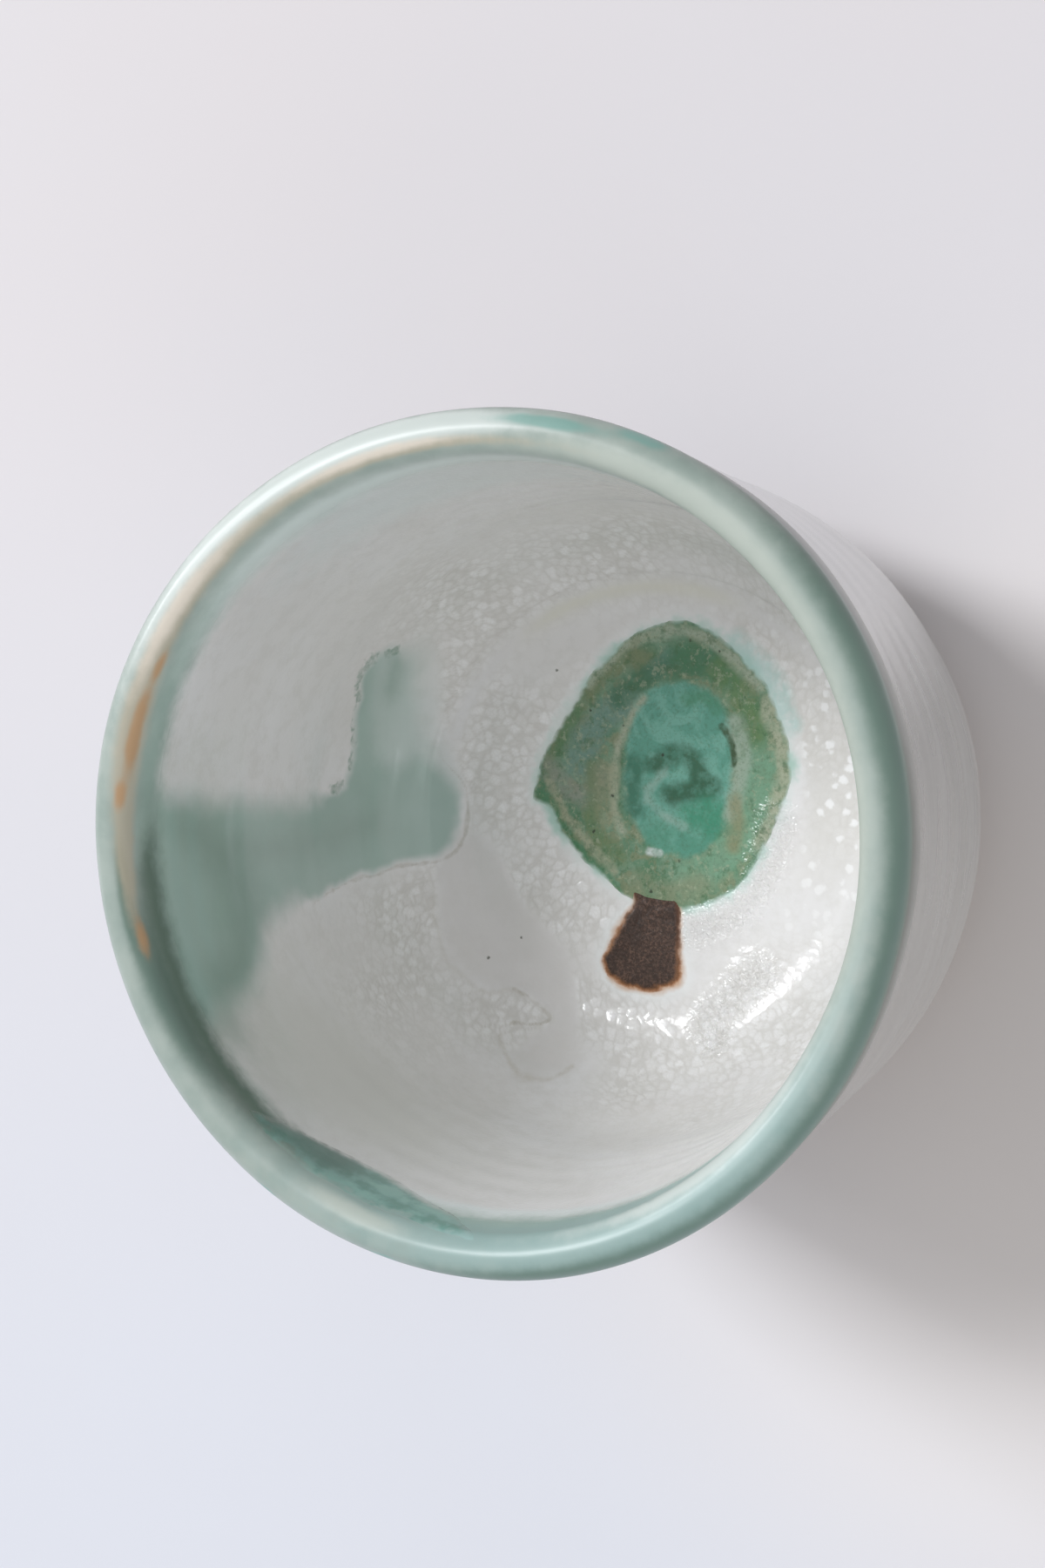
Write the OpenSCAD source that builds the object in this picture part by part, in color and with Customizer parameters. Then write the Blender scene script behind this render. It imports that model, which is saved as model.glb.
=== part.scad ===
// A hand-thrown drinking cup without a handle, standing upright on its foot ring.
// The clay body carries thin coats of glaze, and coloured glaze lies on those coats inside.
// Origin: centre of the foot ring, on the table. +Z points up to the lip.

/* [Body] */
// Height from the table to the top of the lip
cup_h = 73; // [65:1:100]
// Outside diameter of the glazed lip
rim_d = 85; // [78:1:100]
// Outside diameter at the hip, where the wall turns in to the foot
hip_d = 83; // [74:1:98]
// Height of the hip above the table
hip_z = 25; // [18:1:32]
// Thickness of the glazed lip
lip_t = 4.6; // [3.5:0.1:6]
// Thickness of the glazed wall at the hip
hip_t = 4.8; // [3.8:0.1:7]

/* [Floor] */
// Thickness of the glazed floor at its centre, above the foot recess
floor_t = 7; // [5:0.5:10]
// How far the inside corner curve reaches in from the wall
corner_w = 13; // [8:0.5:16]
// How far the inside corner curve climbs the wall
corner_h = 20; // [12:0.5:24]
// How far the centre of the floor lies below its edge
floor_dish = 1; // [0.5:0.1:1.5]

/* [Foot] */
// Outside diameter of the foot ring
foot_d = 54; // [46:1:60]
// Height of the foot ring
foot_h = 4; // [2.5:0.5:6]
// Width of the foot ring
foot_w = 4.5; // [3:0.5:7]
// Bevel on both edges of the foot ring
foot_bevel = 0.8; // [0.4:0.1:1.2]

/* [Glaze] */
// Thickness of the glaze coats on the clay
glaze_t = 0.5; // [0.3:0.1:0.8]
// How far the lip glaze reaches down the outside
band_out = 8; // [6:0.5:12]
// How far the lip glaze reaches down the inside
band_in = 6; // [5:0.5:10]
// Height of the bare clay between the foot ring and the glaze line
bare_h = 2.5; // [1.5:0.5:5]

/* [Pool on the floor] */
// Mean diameter of the green pool
pool_d = 32.5; // [24:0.5:36]
// Place of the pool along X, from the centre of the floor
pool_x = 5; // [0:0.5:7]
// Place of the pool along Y, from the centre of the floor
pool_y = -1; // [-4:0.5:4]
// Thickness of the pool on the liner glaze
pool_t = 0.5; // [0.3:0.1:0.8]
// Length of the turquoise centre of the pool
eye_l = 21; // [14:0.5:22]
// Width of the turquoise centre of the pool
eye_w = 13.5; // [8:0.5:15]
// Thickness of the turquoise centre on the pool
eye_t = 0.3; // [0.2:0.1:0.5]

/* [Iron patch] */
// Distance that the iron patch reaches out from the centre of the pool
iron_reach = 27.3; // [25:0.1:29]
// Width of the iron patch at its far end
iron_w = 10.5; // [7:0.5:13]
// Width of the iron patch where it meets the pool
iron_neck = 6.5; // [4:0.5:9]
// Thickness of the iron patch on the liner glaze
iron_t = 0.3; // [0.2:0.1:0.5]

/* [Splash on the wall] */
// Width of the splash's stem, which runs down from the lip
stem_w = 11.5; // [9:0.5:14]
// Length of the side arm, from the middle of the stem
arm_l = 22.5; // [18:0.5:26]
// Width of the side arm
arm_w = 10.5; // [7:0.5:12]
// Length of the short branch near the lip, from the middle of the stem
branch_l = 16.5; // [13:0.5:20]
// Width of that branch, measured down from the lip glaze
branch_w = 14; // [8:0.5:18]
// Thickness of the splash on the liner glaze
splash_t = 0.3; // [0.2:0.1:0.5]

/* [Run under the lip] */
// Length of the copper-green run, round the inside of the lip
run_l = 22; // [12:1:30]
// Width of the run at its middle
run_w = 6; // [3:0.5:7]
// Thickness of the run on the glaze
run_t = 0.3; // [0.2:0.1:0.5]

/* [Hidden] */
$fn = 96;

// Heights and radii of the glazed surface
lip_r = lip_t / 2;
lip_z = cup_h - lip_r;
rim_r = rim_d / 2;
hip_r = hip_d / 2;
foot_r = foot_d / 2;
glaze_line_z = foot_h + bare_h;
floor_z = foot_h + floor_t;
floor_edge_z = floor_z + floor_dish;
floor_edge_r = hip_r - hip_t - corner_w;
corner_z = floor_edge_z + corner_h;
well_r = rim_r - lip_t;
sweep = 1.6;
floor_steps = 5;
corner_steps = 12;
wall_steps = 6;
lip_steps = 12;
hip_steps = 12;
turn_steps = 3;

// A point of the inside wall and of the outside wall at height z
function wall_in(z) = [hip_r - hip_t
    + (well_r - hip_r + hip_t) * pow(max(0, z - corner_z) / (lip_z - corner_z), sweep), z];
function wall_out(z) = [hip_r + (rim_r - hip_r) * pow(max(0, z - hip_z) / (lip_z - hip_z), sweep), z];
// A point of the lip, which is half a circle: 0 degrees is inside and 180 outside
function lip_point(a) = [rim_r - lip_r - lip_r * cos(a), lip_z + lip_r * sin(a)];
// A point of the floor, from its centre at 0 to its edge at 1
function floor_point(t) = [floor_edge_r * t, floor_z + floor_dish * t * t * (3 - 2 * t)];
// A point of the inside corner, from the floor at 0 degrees to the wall at 90
function corner_point(a) = [floor_edge_r + corner_w * sin(a), corner_z - corner_h * cos(a)];
// A point of the turn from the hip at 0 degrees to the foot at 90
function hip_point(a) = [foot_r + (hip_r - foot_r) * cos(a), hip_z - (hip_z - foot_h) * sin(a)];
glaze_line_a = asin((hip_z - glaze_line_z) / (hip_z - foot_h));

// The whole glazed surface in section, from the centre of the floor over the lip to the foot
floor_skin = [for (i = [0:floor_steps - 1]) floor_point(i / floor_steps)];
corner_skin = [for (i = [0:corner_steps - 1]) corner_point(90 * i / corner_steps)];
wall_in_skin = [for (i = [0:wall_steps]) wall_in(corner_z + (cup_h - band_in - corner_z) * i / wall_steps)];
lip_skin = [for (i = [0:lip_steps]) lip_point(180 * i / lip_steps)];
wall_out_skin = [for (i = [0:wall_steps - 1])
    wall_out(cup_h - band_out + (hip_z - cup_h + band_out) * i / wall_steps)];
hip_skin = [for (i = [0:hip_steps]) hip_point(glaze_line_a * i / hip_steps)];
turn_skin = [for (i = [1:turn_steps - 1]) hip_point(glaze_line_a + (90 - glaze_line_a) * i / turn_steps)];
skin = concat(floor_skin, corner_skin, wall_in_skin, lip_skin, wall_out_skin, hip_skin, turn_skin);

// Places in that list where one glaze ends and the next begins
lip_from = floor_steps + corner_steps + wall_steps;
lip_to = lip_from + lip_steps + 2;
line_at = lip_to + wall_steps + hip_steps;
floor_marks_to = floor_steps + corner_steps;

function tangent(p, i) = i == 0 ? [1, 0]
    : let (v = p[min(i + 1, len(p) - 1)] - p[i - 1]) v / norm(v);
// The line p moved by d towards the clay, or by -d towards the air
function moved(p, d) = [for (i = [0:len(p) - 1]) let (t = tangent(p, i)) p[i] + d * [t[1], -t[0]]];
function part_of(p, from, to) = [for (i = [from:to]) p[i]];
function turned_back(p) = [for (i = [len(p) - 1:-1:0]) p[i]];

// A closed smooth line through points, by the Catmull-Rom rule
loop_steps = 4;
function between(p, i, t) = let (n = len(p), a = p[(i + n - 1) % n], b = p[i], c = p[(i + 1) % n],
    d = p[(i + 2) % n]) 0.5 * (2 * b + (c - a) * t + (2 * a - 5 * b + 4 * c - d) * t * t
    + (3 * b - a - 3 * c + d) * t * t * t);
function smooth_loop(p) = [for (i = [0:len(p) - 1], s = [0:loop_steps - 1]) between(p, i, s / loop_steps)];

// The pool's edge every 30 degrees from +X, as a share of half its mean diameter
pool_edge = [1.04, 0.92, 0.84, 1.02, 0.88, 0.95, 1.05, 1.04, 0.99, 1.05, 1.07, 1.15];
pool_turn = 360 / len(pool_edge);
pool_r = pool_d / 2;
pool_loop = [for (i = [0:len(pool_edge) - 1]) pool_r * pool_edge[i]
    * [cos(i * pool_turn), sin(i * pool_turn)]];
// The turquoise centre lies a little to the front of the pool's middle
eye_y = -0.15 * pool_r;
// The iron patch starts under the pool's edge and widens away from it
iron_start = 0.8 * pool_r;
neck_y = 0.15 * pool_r;
iron_y = 0.27 * pool_r;
iron_half = iron_w / 2;
iron_loop = [[-iron_start, neck_y - iron_neck / 2], [-iron_reach + iron_half, iron_y - iron_half],
    [-iron_reach + 0.4 * iron_half, iron_y - 0.8 * iron_half], [-iron_reach, iron_y - 0.3 * iron_half],
    [-iron_reach + 0.4 * iron_half, iron_y + 0.7 * iron_half],
    [-iron_reach + iron_half, iron_y + iron_half],
    [-iron_reach + 1.7 * iron_half, iron_y + 0.6 * iron_half], [-iron_start, neck_y + iron_neck / 2]];

// Marks on the wall are drawn on a plane that leans back, so that it covers the wall and the corner
lean = 45;
function lean_y(r, z) = r * sin(lean) + z * cos(lean);
lip_edge_y = lean_y(well_r, cup_h - band_in);

// The splash runs down the back of the inside wall, from under the lip glaze to the floor
stem_r = stem_w / 2;
splash_x = 0.2 * stem_r;
arm_r = arm_w / 2;
stem_top = lip_edge_y + stem_r / 2;
stem_end = lean_y(floor_edge_r, floor_edge_z) + 0.2 * arm_r;
arm_y = stem_end + 1.5 * arm_r;
branch_y = lip_edge_y - branch_w;
splash_loop = [[stem_r, stem_top], [1.15 * stem_r, lip_edge_y - stem_r / 2],
    [0.9 * stem_r, lip_edge_y - 2.5 * stem_r], [stem_r, arm_y + 2 * arm_r],
    [stem_r + 0.6 * arm_r, arm_y + arm_r], [arm_l - arm_r, arm_y + arm_r],
    [arm_l - 0.3 * arm_r, arm_y + 0.8 * arm_r], [arm_l, arm_y],
    [arm_l - 0.5 * arm_r, arm_y - arm_r], [stem_r + 0.8 * arm_r, arm_y - arm_r],
    [0.7 * stem_r, stem_end], [0, stem_end], [-0.7 * stem_r, stem_end + 0.4 * stem_r],
    [-0.8 * stem_r, stem_end + 1.3 * stem_r], [-stem_r, arm_y + 2 * arm_r],
    [-stem_r, branch_y - stem_r / 2], [-1.4 * stem_r, branch_y], [-0.85 * branch_l, branch_y + 0.2 * stem_r],
    [-branch_l, branch_y + stem_r], [-branch_l, lip_edge_y - stem_r], [-0.9 * branch_l, stem_top]];

// The run follows the lower edge of the lip glaze, inside the cup
run_turn = 62;
run_rise = 3;
run_loop = [[-run_l / 2, lip_edge_y + run_w / 4], [-run_l / 4, lip_edge_y - run_w / 4],
    [0, lip_edge_y - run_w / 2], [run_l / 4, lip_edge_y - run_w / 4], [run_l / 2, lip_edge_y + run_w / 4],
    [run_l / 4, lip_edge_y + 0.3 * run_w], [-run_l / 4, lip_edge_y + 0.3 * run_w]];

// Section of a coat that lies on the glazed surface, from height low to height high above it
module film(from, to, low, high) {
    under = moved(skin, -low);
    over = moved(skin, -high);
    polygon(concat(part_of(under, from, to), turned_back(part_of(over, from, to))));
}

// A coat of glaze between the clay and the glazed surface
module coat(from, to) {
    rotate_extrude() film(from, to, -glaze_t, 0);
}

// A mark on the floor: its outline is cut out of a film that covers the floor and the corner
module floor_mark(low, high) {
    intersection() {
        rotate_extrude() film(0, floor_marks_to, low, high);
        translate([0, 0, foot_h]) linear_extrude(corner_z) children();
    }
}

// A mark on the wall: its outline is cut out of a film that covers the corner and the wall.
// It is drawn at the back of the cup, and turned round the axis from there.
module wall_mark(turn, to, high) {
    intersection() {
        rotate_extrude() film(floor_steps, to, 0, high);
        rotate([0, 0, turn]) rotate([lean, 0, 0]) translate([0, 0, -cup_h])
            linear_extrude(1.5 * cup_h) children();
    }
}

module pool_outline() {
    translate([pool_x, pool_y]) polygon(smooth_loop(pool_loop));
}

module clay_body() {
    clay = moved(skin, glaze_t);
    recess_r = foot_r - foot_w;
    color("tan") rotate_extrude() polygon(concat(clay, [[foot_r, foot_h + glaze_t], [foot_r, foot_bevel],
        [foot_r - foot_bevel, 0], [recess_r + foot_bevel, 0], [recess_r, foot_bevel],
        [recess_r, foot_h], [0, foot_h]]));
}

module liner_glaze() {
    color("gainsboro") coat(0, lip_from);
}

module rim_glaze() {
    color("darkseagreen") coat(lip_from, lip_to);
}

module outer_glaze() {
    color("lightgray") coat(lip_to, line_at);
}

module pool_glaze() {
    color("seagreen") floor_mark(0, pool_t) pool_outline();
}

module pool_centre() {
    color("mediumaquamarine") floor_mark(pool_t, pool_t + eye_t) intersection() {
        translate([pool_x, pool_y + eye_y]) scale([1, eye_w / eye_l]) circle(d = eye_l);
        pool_outline();
    }
}

module iron_patch() {
    color("saddlebrown") floor_mark(0, iron_t) difference() {
        translate([pool_x, pool_y]) polygon(smooth_loop(iron_loop));
        pool_outline();
    }
}

module splash_glaze() {
    color("cadetblue") wall_mark(0, lip_from, splash_t) translate([splash_x, 0])
        polygon(smooth_loop(splash_loop));
}

module lip_run() {
    color("teal") wall_mark(run_turn, lip_from + run_rise, run_t) polygon(smooth_loop(run_loop));
}

clay_body();
liner_glaze();
outer_glaze();
rim_glaze();
pool_glaze();
pool_centre();
iron_patch();
splash_glaze();
lip_run();
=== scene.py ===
import math

import bpy
import numpy as np
from mathutils import Matrix, Vector, noise


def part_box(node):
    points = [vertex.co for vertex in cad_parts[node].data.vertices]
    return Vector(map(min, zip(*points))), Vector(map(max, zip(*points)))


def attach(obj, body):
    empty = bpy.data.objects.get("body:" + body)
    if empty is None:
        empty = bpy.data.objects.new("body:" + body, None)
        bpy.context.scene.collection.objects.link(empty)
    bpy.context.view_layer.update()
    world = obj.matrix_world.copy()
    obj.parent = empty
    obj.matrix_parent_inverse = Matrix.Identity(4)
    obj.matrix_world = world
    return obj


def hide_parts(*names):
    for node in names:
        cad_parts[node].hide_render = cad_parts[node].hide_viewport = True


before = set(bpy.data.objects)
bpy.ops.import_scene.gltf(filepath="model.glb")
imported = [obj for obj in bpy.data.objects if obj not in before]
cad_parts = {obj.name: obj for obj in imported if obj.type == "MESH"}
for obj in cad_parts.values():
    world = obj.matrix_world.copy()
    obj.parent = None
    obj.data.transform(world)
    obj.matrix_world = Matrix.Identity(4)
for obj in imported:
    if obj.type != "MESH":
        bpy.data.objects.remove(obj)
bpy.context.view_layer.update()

MM = 0.001

# The vector noise starts from the clock unless it gets a seed
noise.seed_set(1)

# Sizes of the glazed surface
CUP_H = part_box("rim_glaze")[1].z / MM
RIM_R = 42.5
HIP_R = 41.5
HIP_Z = 25.0
LIP_R = 2.3
HIP_T = 4.8
FOOT_R = 27.0
FOOT_H = 4.0
FOOT_W = 4.5
FOOT_BEVEL = 0.8
FLOOR_Z = 11.0
DISH = 1.0
CORNER_W = 13.0
CORNER_H = 20.0
BAND_IN = 6.0
BAND_OUT = 8.0
BARE_H = 2.5
GLAZE_T = 0.5
COAT_GAP = 0.05
SWEEP = 1.6

# Where the turned hip ends over the foot, where the foot's line begins from there, and its rounding
HIP_STOP = 0.6
FOOT_REACH, FOOT_RISE = 4.0, 0.35
FOOT_ROUND, FOOT_STEP = 0.5, 1.2

# Thickness of the marks and of their backs, and how far their edges dip below the coat that they lie on
POOL_T, EYE_T, IRON_T, SPLASH_T, RUN_T = 0.25, 0.06, 0.15, 0.12, 0.12
BACK_T = 0.2
EDGE_DIP = 0.12

# Heights of the hand-made relief, the pitch of the throwing rings, and the radius of the step in the floor
LOBES_2, LOBES_3, LIP_WAVE = 0.1, 0.25, 0.2
UNEVEN, RIPPLE = 0.12, 0.03
RING_IN, RING_IN_PITCH = 0.028, 5.4
RING_OUT, RING_OUT_PITCH = 0.02, 9.5
STEP_DEPTH, STEP_R = 0.3, 29.4
CELL_RISE, PEBBLE_RISE, TONGUE_RISE = 0.05, 0.2, 0.08

# How finely the surface is divided
COLUMNS = 720
FINE_STEP = 0.3
LIP_STEP = 0.35
WALL_STEP = 0.6
COARSE_STEP = 6

LIP_Z = CUP_H - LIP_R
FLOOR_R = HIP_R - HIP_T - CORNER_W
CORNER_Z = FLOOR_Z + DISH + CORNER_H
WELL_R = RIM_R - 2 * LIP_R
LINE_Z = FOOT_H + BARE_H


def smooth(low, high, x):
    t = np.clip((x - low) / (high - low), 0, 1)
    return t * t * (3 - 2 * t)


def hump(centre, width, x):
    return np.exp(-((x - centre) / width) ** 2)


# The section line
def floor_line(n=60):
    t = np.linspace(0, 1, n, endpoint=False)
    return FLOOR_R * t, FLOOR_Z + DISH * t * t * (3 - 2 * t)


def corner_line(n=90):
    a = np.linspace(0, math.pi / 2, n, endpoint=False)
    return FLOOR_R + CORNER_W * np.sin(a), CORNER_Z - CORNER_H * np.cos(a)


def inner_wall_line(n=80):
    z = np.linspace(CORNER_Z, LIP_Z, n, endpoint=False)
    lower = HIP_R - HIP_T
    return lower + (WELL_R - lower) * ((z - CORNER_Z) / (LIP_Z - CORNER_Z)) ** SWEEP, z


def lip_line(n=60):
    a = np.linspace(0, math.pi, n, endpoint=False)
    return RIM_R - LIP_R - LIP_R * np.cos(a), LIP_Z + LIP_R * np.sin(a)


def outer_wall_line(n=80):
    z = np.linspace(LIP_Z, HIP_Z, n, endpoint=False)
    return HIP_R + (RIM_R - HIP_R) * ((z - HIP_Z) / (LIP_Z - HIP_Z)) ** SWEEP, z


def hip_line(n=90):
    a = np.linspace(0, math.pi / 2, n)
    return FOOT_R + (HIP_R - FOOT_R) * np.cos(a), HIP_Z - (HIP_Z - FOOT_H) * np.sin(a)


class Section:
    """The section line from the centre of the floor over the lip to the foot, by its length."""

    def __init__(self):
        lines = [floor_line(), corner_line(), inner_wall_line(), lip_line(), outer_wall_line(), hip_line()]
        self.r, self.z = np.concatenate(lines, axis=1)
        steps = np.hypot(np.diff(self.r), np.diff(self.z))
        self.s = np.concatenate([[0.0], np.cumsum(steps)])
        self.crest = self.s[np.argmax(self.z)]

    def at(self, s):
        return np.interp(s, self.s, self.r), np.interp(s, self.s, self.z)

    def inside_height(self, z):
        """Length at which the inside of the cup reaches height z."""
        inside = self.s <= self.crest
        return float(np.interp(z, self.z[inside], self.s[inside]))

    def outside_height(self, z):
        """Length at which the outside of the cup comes down to height z."""
        outside = self.s >= self.crest
        return float(np.interp(-z, -self.z[outside], self.s[outside]))

    def inside_radius(self, r):
        low = self.s <= self.inside_height(CORNER_Z)
        return float(np.interp(r, self.r[low], self.s[low]))


LINE = Section()
S_CORNER = LINE.inside_height(CORNER_Z)
S_LIP_IN = LINE.inside_height(CUP_H - BAND_IN)
S_LIP_OUT = LINE.outside_height(CUP_H - BAND_OUT)
S_GLAZE_END = LINE.outside_height(LINE_Z)
S_END = LINE.s[-1]


def row_lengths():
    """Lengths of the rows, with a row exactly at each border between two glazes."""
    stops = [0.0, S_CORNER, S_LIP_IN, S_LIP_OUT, S_GLAZE_END, S_END]
    steps = [FINE_STEP, WALL_STEP, LIP_STEP, WALL_STEP, WALL_STEP]
    rows, borders = [], [0]
    for low, high, step in zip(stops, stops[1:], steps):
        count = math.ceil((high - low) / step)
        rows.extend(np.linspace(low, high, count, endpoint=False))
        borders.append(len(rows))
    rows.append(S_END)
    return np.array(rows), borders


S, BORDERS = row_lengths()
ROW_LIP_IN, ROW_LIP_OUT, ROW_GLAZE_END = BORDERS[2:5]
TURN = np.linspace(0, 2 * math.pi, COLUMNS, endpoint=False)

# Outlines of the marks. Those of the floor are seen from above, in the cup's own X and Y. Those of the
# wall are seen along a line that leans back by 45 degrees: X, and the sum of Y and Z times sin 45.
LEAN = math.sqrt(0.5)
LIP_EDGE_W = LEAN * (WELL_R + CUP_H - BAND_IN)
POOL = [(23.1, -3.9), (22.5, -8), (19.8, -11.8), (16.6, -14.4), (12.3, -16.6), (7.4, -17.8), (3.2, -17.8),
        (-0.4, -16.7), (-3.8, -14.6), (-7.8, -11.8), (-11, -8.3), (-12.2, -4), (-11.8, 0.5), (-10.5, 4),
        (-8.3, 6.9), (-4.7, 10.2), (-1.2, 12.4), (1.9, 13.9), (3.4, 15.7), (5.6, 14.8), (8.5, 13.8),
        (11.5, 11.4), (15.4, 8.6), (19, 4.6), (22.1, 0.2)]
EYE = [(14.4, 0.2), (15.7, -2.8), (15.4, -7), (13.8, -9.5), (10.6, -10.6), (6.6, -10.9), (2.4, -10.4),
       (-1.7, -9.1), (-4.7, -7.2), (-5.8, -4.7), (-5.4, -0.8), (-3.3, 2), (0.1, 3.7), (3.9, 3.9), (8.2, 2.9),
       (11.8, 1.6)]
IRON = [(-8.5, 4.4), (-10.6, 3.9), (-12.6, 5.6), (-15.4, 7.6), (-17.6, 8.8), (-20, 8), (-21.4, 6),
        (-22.2, 3.1), (-21.7, -0.1), (-20.6, -1.4), (-18.3, -1.6), (-15.2, -1.8), (-12.6, -2), (-8.5, -1.6)]
TONGUE = [(0.1, 23.1), (-0.8, 26.7), (-4, 28.9), (-9, 29.3), (-12.2, 28.8), (-14.9, 28.2), (-17.9, 25.8),
          (-19.9, 23.4), (-20.3, 20.7), (-21.1, 19.2), (-22.8, 16.9), (-24.3, 15.8), (-26.5, 18.6),
          (-27.8, 20), (-30.1, 17.4), (-31, 14.6), (-29.9, 12.3), (-26.9, 12), (-21.7, 12.2), (-15.5, 13.3),
          (-9.9, 17.5), (-3.8, 20.2)]
SPLASH = [(9, 80), (9, 70), (8.4, 64.4), (7.5, 57), (7, 49.5), (7.3, 43.5), (9.2, 41.6), (13, 41),
          (17, 40.7), (21.3, 40), (23.5, 37.5), (24, 34), (23.3, 31), (19.7, 29.3), (14.3, 28.6),
          (10.8, 28), (8.6, 26.9), (5.9, 26.2), (1.5, 26.3), (-1.9, 28), (-3, 30.5), (-2.9, 34.9),
          (-3.9, 38.4), (-3.7, 41.3), (-4.8, 46.4), (-5.6, 50), (-6.4, 54.8), (-8.4, 58.3), (-11.8, 60.4),
          (-14.3, 63), (-15.7, 67.5), (-16, 80)]
RUN = [(-14, 2.4), (-12, 0.4), (-8.5, -1.4), (0, -3), (8, -2.2), (13.5, 0.2), (10, 2), (4, 3), (-4, 3),
       (-9, 2.8)]
RUN_TURN = math.radians(62)

# Strokes of colour that melt into one another. For each: half its width, its colour, its strength, how
# soft its edge is, and the line that it follows. They are laid in the order in which they stand.
POOL_STROKES = {
    "green_right": (2.6, (121, 165, 135), 0.95, 2.4, [(5, -14), (0, -12.6), (-5, -9.5), (-8.5, -4)]),
    "olive_low": (1.6, (138, 148, 117), 0.8, 2.2, [(-9.5, -5), (-10, 0), (-8.5, 3.5)]),
    "olive_left": (1.9, (120, 134, 96), 0.85, 1.6, [(10.5, 11), (15.6, 8.1), (18, 5), (19.4, 1.6),
        (18.9, -1)]),
    "green_left": (0.8, (86, 130, 88), 0.8, 1.2, [(7.4, 12), (10, 10.6), (13.5, 8.4)]),
    "teal_left": (1.9, (112, 148, 134), 0.9, 1.6, [(7, 9), (10, 7.6), (12.4, 5), (13.9, 1.6)]),
    "grey_left": (1.5, (142, 150, 134), 0.85, 1.6, [(6.8, 12.6), (4.4, 11), (3, 8.6), (5.4, 7)]),
    "olive_mid": (1.1, (108, 132, 88), 0.75, 1.4, [(6.6, 7.4), (1, 8.2), (-2.6, 7.4), (-5.4, 5)]),
    "blue_top": (1.1, (112, 156, 142), 0.85, 1.2, [(17.2, -2), (18.6, -4.4)]),
    "crescent": (1.5, (62, 112, 80), 0.9, 1.8, [(14.6, 2.6), (16.9, -1.6), (17.9, -5.6), (17.6, -9)]),
    "dark_top": (1.9, (70, 126, 88), 0.85, 2.0, [(18.6, -6), (18.2, -8.7), (16, -11.4)]),
    "olive_right": (1.7, (98, 134, 84), 0.85, 2.0, [(16.6, -10.6), (14.2, -12), (11.4, -13.2), (8, -14.2)]),
    "tan_top": (0.9, (172, 184, 162), 0.9, 1.1, [(17.1, 6.4), (19.4, 3.6), (21.1, 0.3), (22.1, -3.2),
        (21.7, -7.3), (19.5, -10.7), (17, -13.1), (14, -15.2)]),
    "edge_top": (0.55, (82, 134, 98), 0.9, 0.8, [(22.8, -6), (21.9, -9.2), (20.6, -11.3), (17.6, -14)]),
    "tan_right": (1.2, (178, 184, 158), 0.9, 1.2, [(11.5, -16.3), (6.4, -17.2), (3.4, -17.1), (0.8, -16.3),
        (-2, -15.2), (-5, -13)]),
    "low_tan": (0.5, (166, 170, 142), 0.85, 0.7, [(5.4, 13), (2, 12.1), (-1, 10.3), (-4.1, 8.3), (-7, 5.8)]),
    "low_edge": (0.7, (80, 134, 96), 0.9, 0.9, [(4, 14.5), (1.6, 13.4), (-0.8, 12.2), (-3.7, 10.5),
        (-6.4, 8.4), (-9.3, 5.6)]),
}
EYE_STROKES = {
    "eye_low": (2.6, (84, 150, 124), 0.7, 3.0, [(-3, 0), (-4.4, -3), (-3.6, -7)]),
    "eye_left": (1.3, (58, 116, 92), 0.9, 1.5, [(6.4, 1.9), (3.4, 2.6), (0.4, 2.5)]),
    "eye_top": (0.8, (78, 142, 110), 0.85, 1.1, [(13.4, -6), (13.7, -8), (12.2, -9.4)]),
    "swirl_up": (1.2, (54, 102, 76), 0.95, 1.5, [(6, -0.8), (7, -3.4), (6.2, -5.4), (4.2, -6.4)]),
    "swirl_low": (1.5, (50, 98, 72), 0.95, 1.7, [(1.8, -2.6), (2.3, -5), (2.2, -7.4)]),
    "swirl_end": (1.6, (60, 144, 112), 0.85, 2.0, [(-0.6, -4.6), (-0.4, -7.4), (-2.6, -8)]),
    "swirl_pale": (0.6, (146, 182, 168), 0.85, 1.0, [(4.6, -1.6), (2.6, 0.6), (0.8, 0.2), (-0.8, -1.4),
        (-1.9, -3.6)]),
}
TOP_STROKES = {
    "beige": (0.55, (176, 182, 158), 0.9, 0.9, [(13.9, -0.4), (11.7, 1.6), (9.2, 3.4), (6.6, 4.5),
        (3.5, 5.1), (0.8, 5.2), (-2, 4.4)]),
    "beige_wide": (1.3, (150, 154, 122), 0.6, 1.8, [(6, 5.6), (3, 6.4), (0, 6.2)]),
    "pale_right": (1.1, (164, 182, 164), 0.85, 1.4, [(9.6, -11.6), (6.6, -12.2), (4, -11.7), (1.4, -10.6),
        (-1, -9.8)]),
    "tan_low": (0.9, (142, 144, 108), 0.8, 1.4, [(0.4, -10.2), (-2.4, -10.4), (-4.9, -9.4)]),
    "thin_line": (0.24, (58, 82, 50), 0.95, 0.4, [(9.6, -9.8), (8.4, -10.5), (6.6, -10.9), (4.6, -10.8)]),
    "bubble": (0.4, (214, 224, 220), 0.95, 0.5, [(-4.4, 1.2), (-4.8, -0.2)]),
}
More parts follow.
